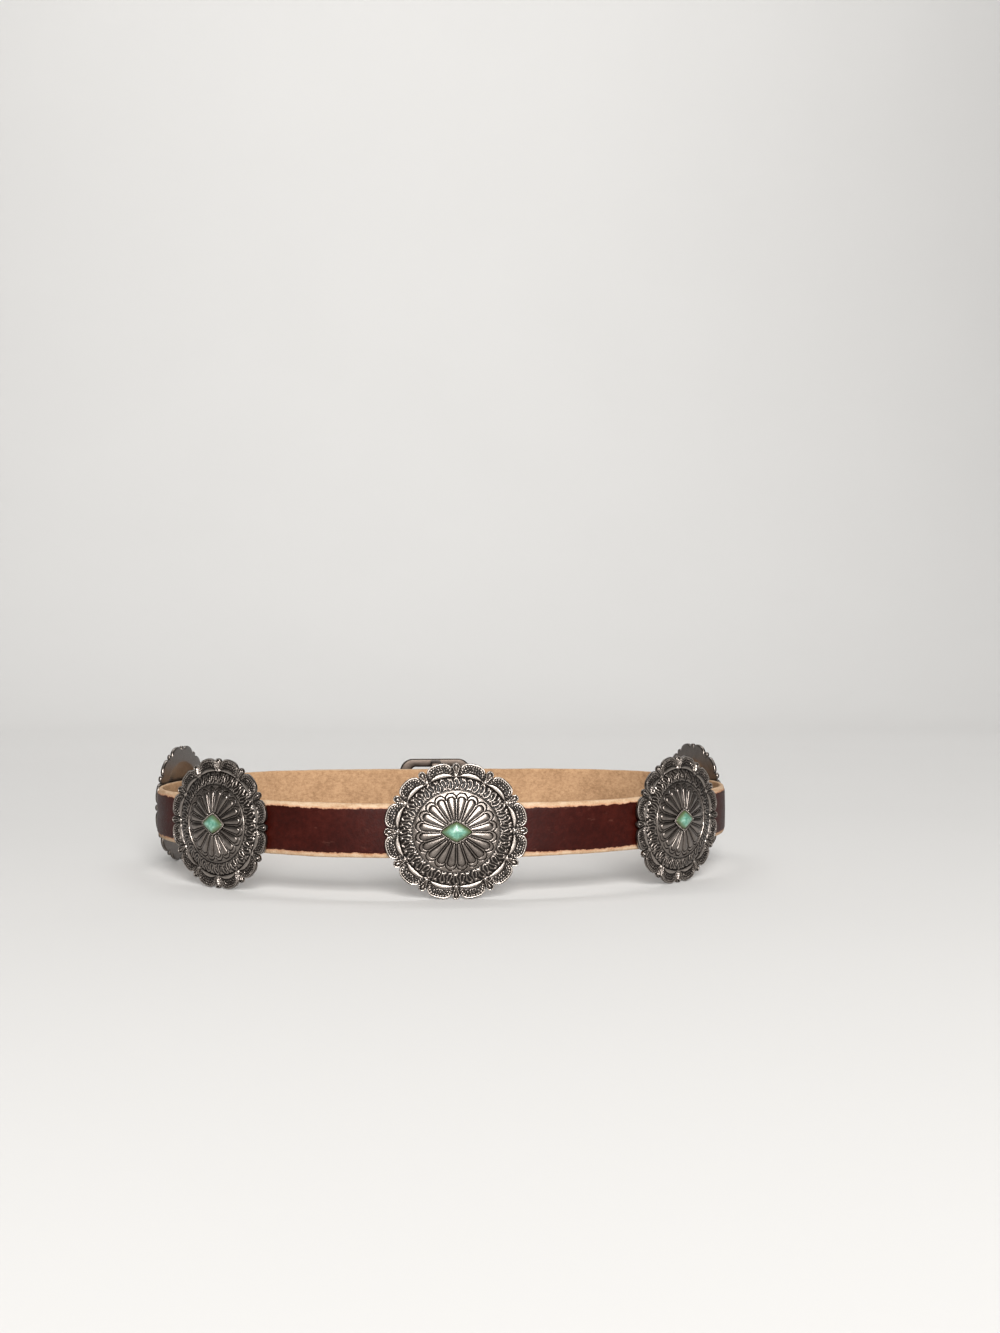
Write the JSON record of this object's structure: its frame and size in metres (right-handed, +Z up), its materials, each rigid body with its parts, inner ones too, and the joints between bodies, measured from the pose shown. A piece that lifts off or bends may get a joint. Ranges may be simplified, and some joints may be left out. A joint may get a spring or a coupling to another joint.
{
  "type": "concho belt",
  "caption": "Buckled leather concho belt: a brown strap with natural cut edges carries cast scalloped silver-coloured ovals with petals round a turquoise stone.",
  "frame": {"origin": "on the ground under the middle of the buckled loop", "axes": "+Z up along the axis of the loop, +X across the wearer from the left side concho to the right one as seen from behind, -Y towards the back concho"},
  "size_m": [0.3112, 0.241, 0.0635],
  "materials": {
    "strap_leather": "dyed dark red-brown face, natural tan bevelled edges, semi-matt",
    "cast_silver": "antiqued cast silver-coloured metal, dark in the recesses",
    "screw_metal": "plain satin metal",
    "buckle_metal": "antiqued silver-coloured metal, lightly worn",
    "turquoise": "polished green-blue turquoise with olive shading at its edges"
  },
  "bodies": {
    "root": {"strap": "strap_leather", "concho_back": "cast_silver", "concho_left": "cast_silver", "concho_right": "cast_silver", "concho_front_left": "cast_silver", "concho_front_right": "cast_silver", "stone_back": "turquoise", "stone_left": "turquoise", "stone_right": "turquoise", "stone_front_left": "turquoise", "stone_front_right": "turquoise", "screw_back": "screw_metal", "screw_left": "screw_metal", "screw_right": "screw_metal", "screw_front_left": "screw_metal", "screw_front_right": "screw_metal", "buckle": "buckle_metal"}
  },
  "joints": []
}
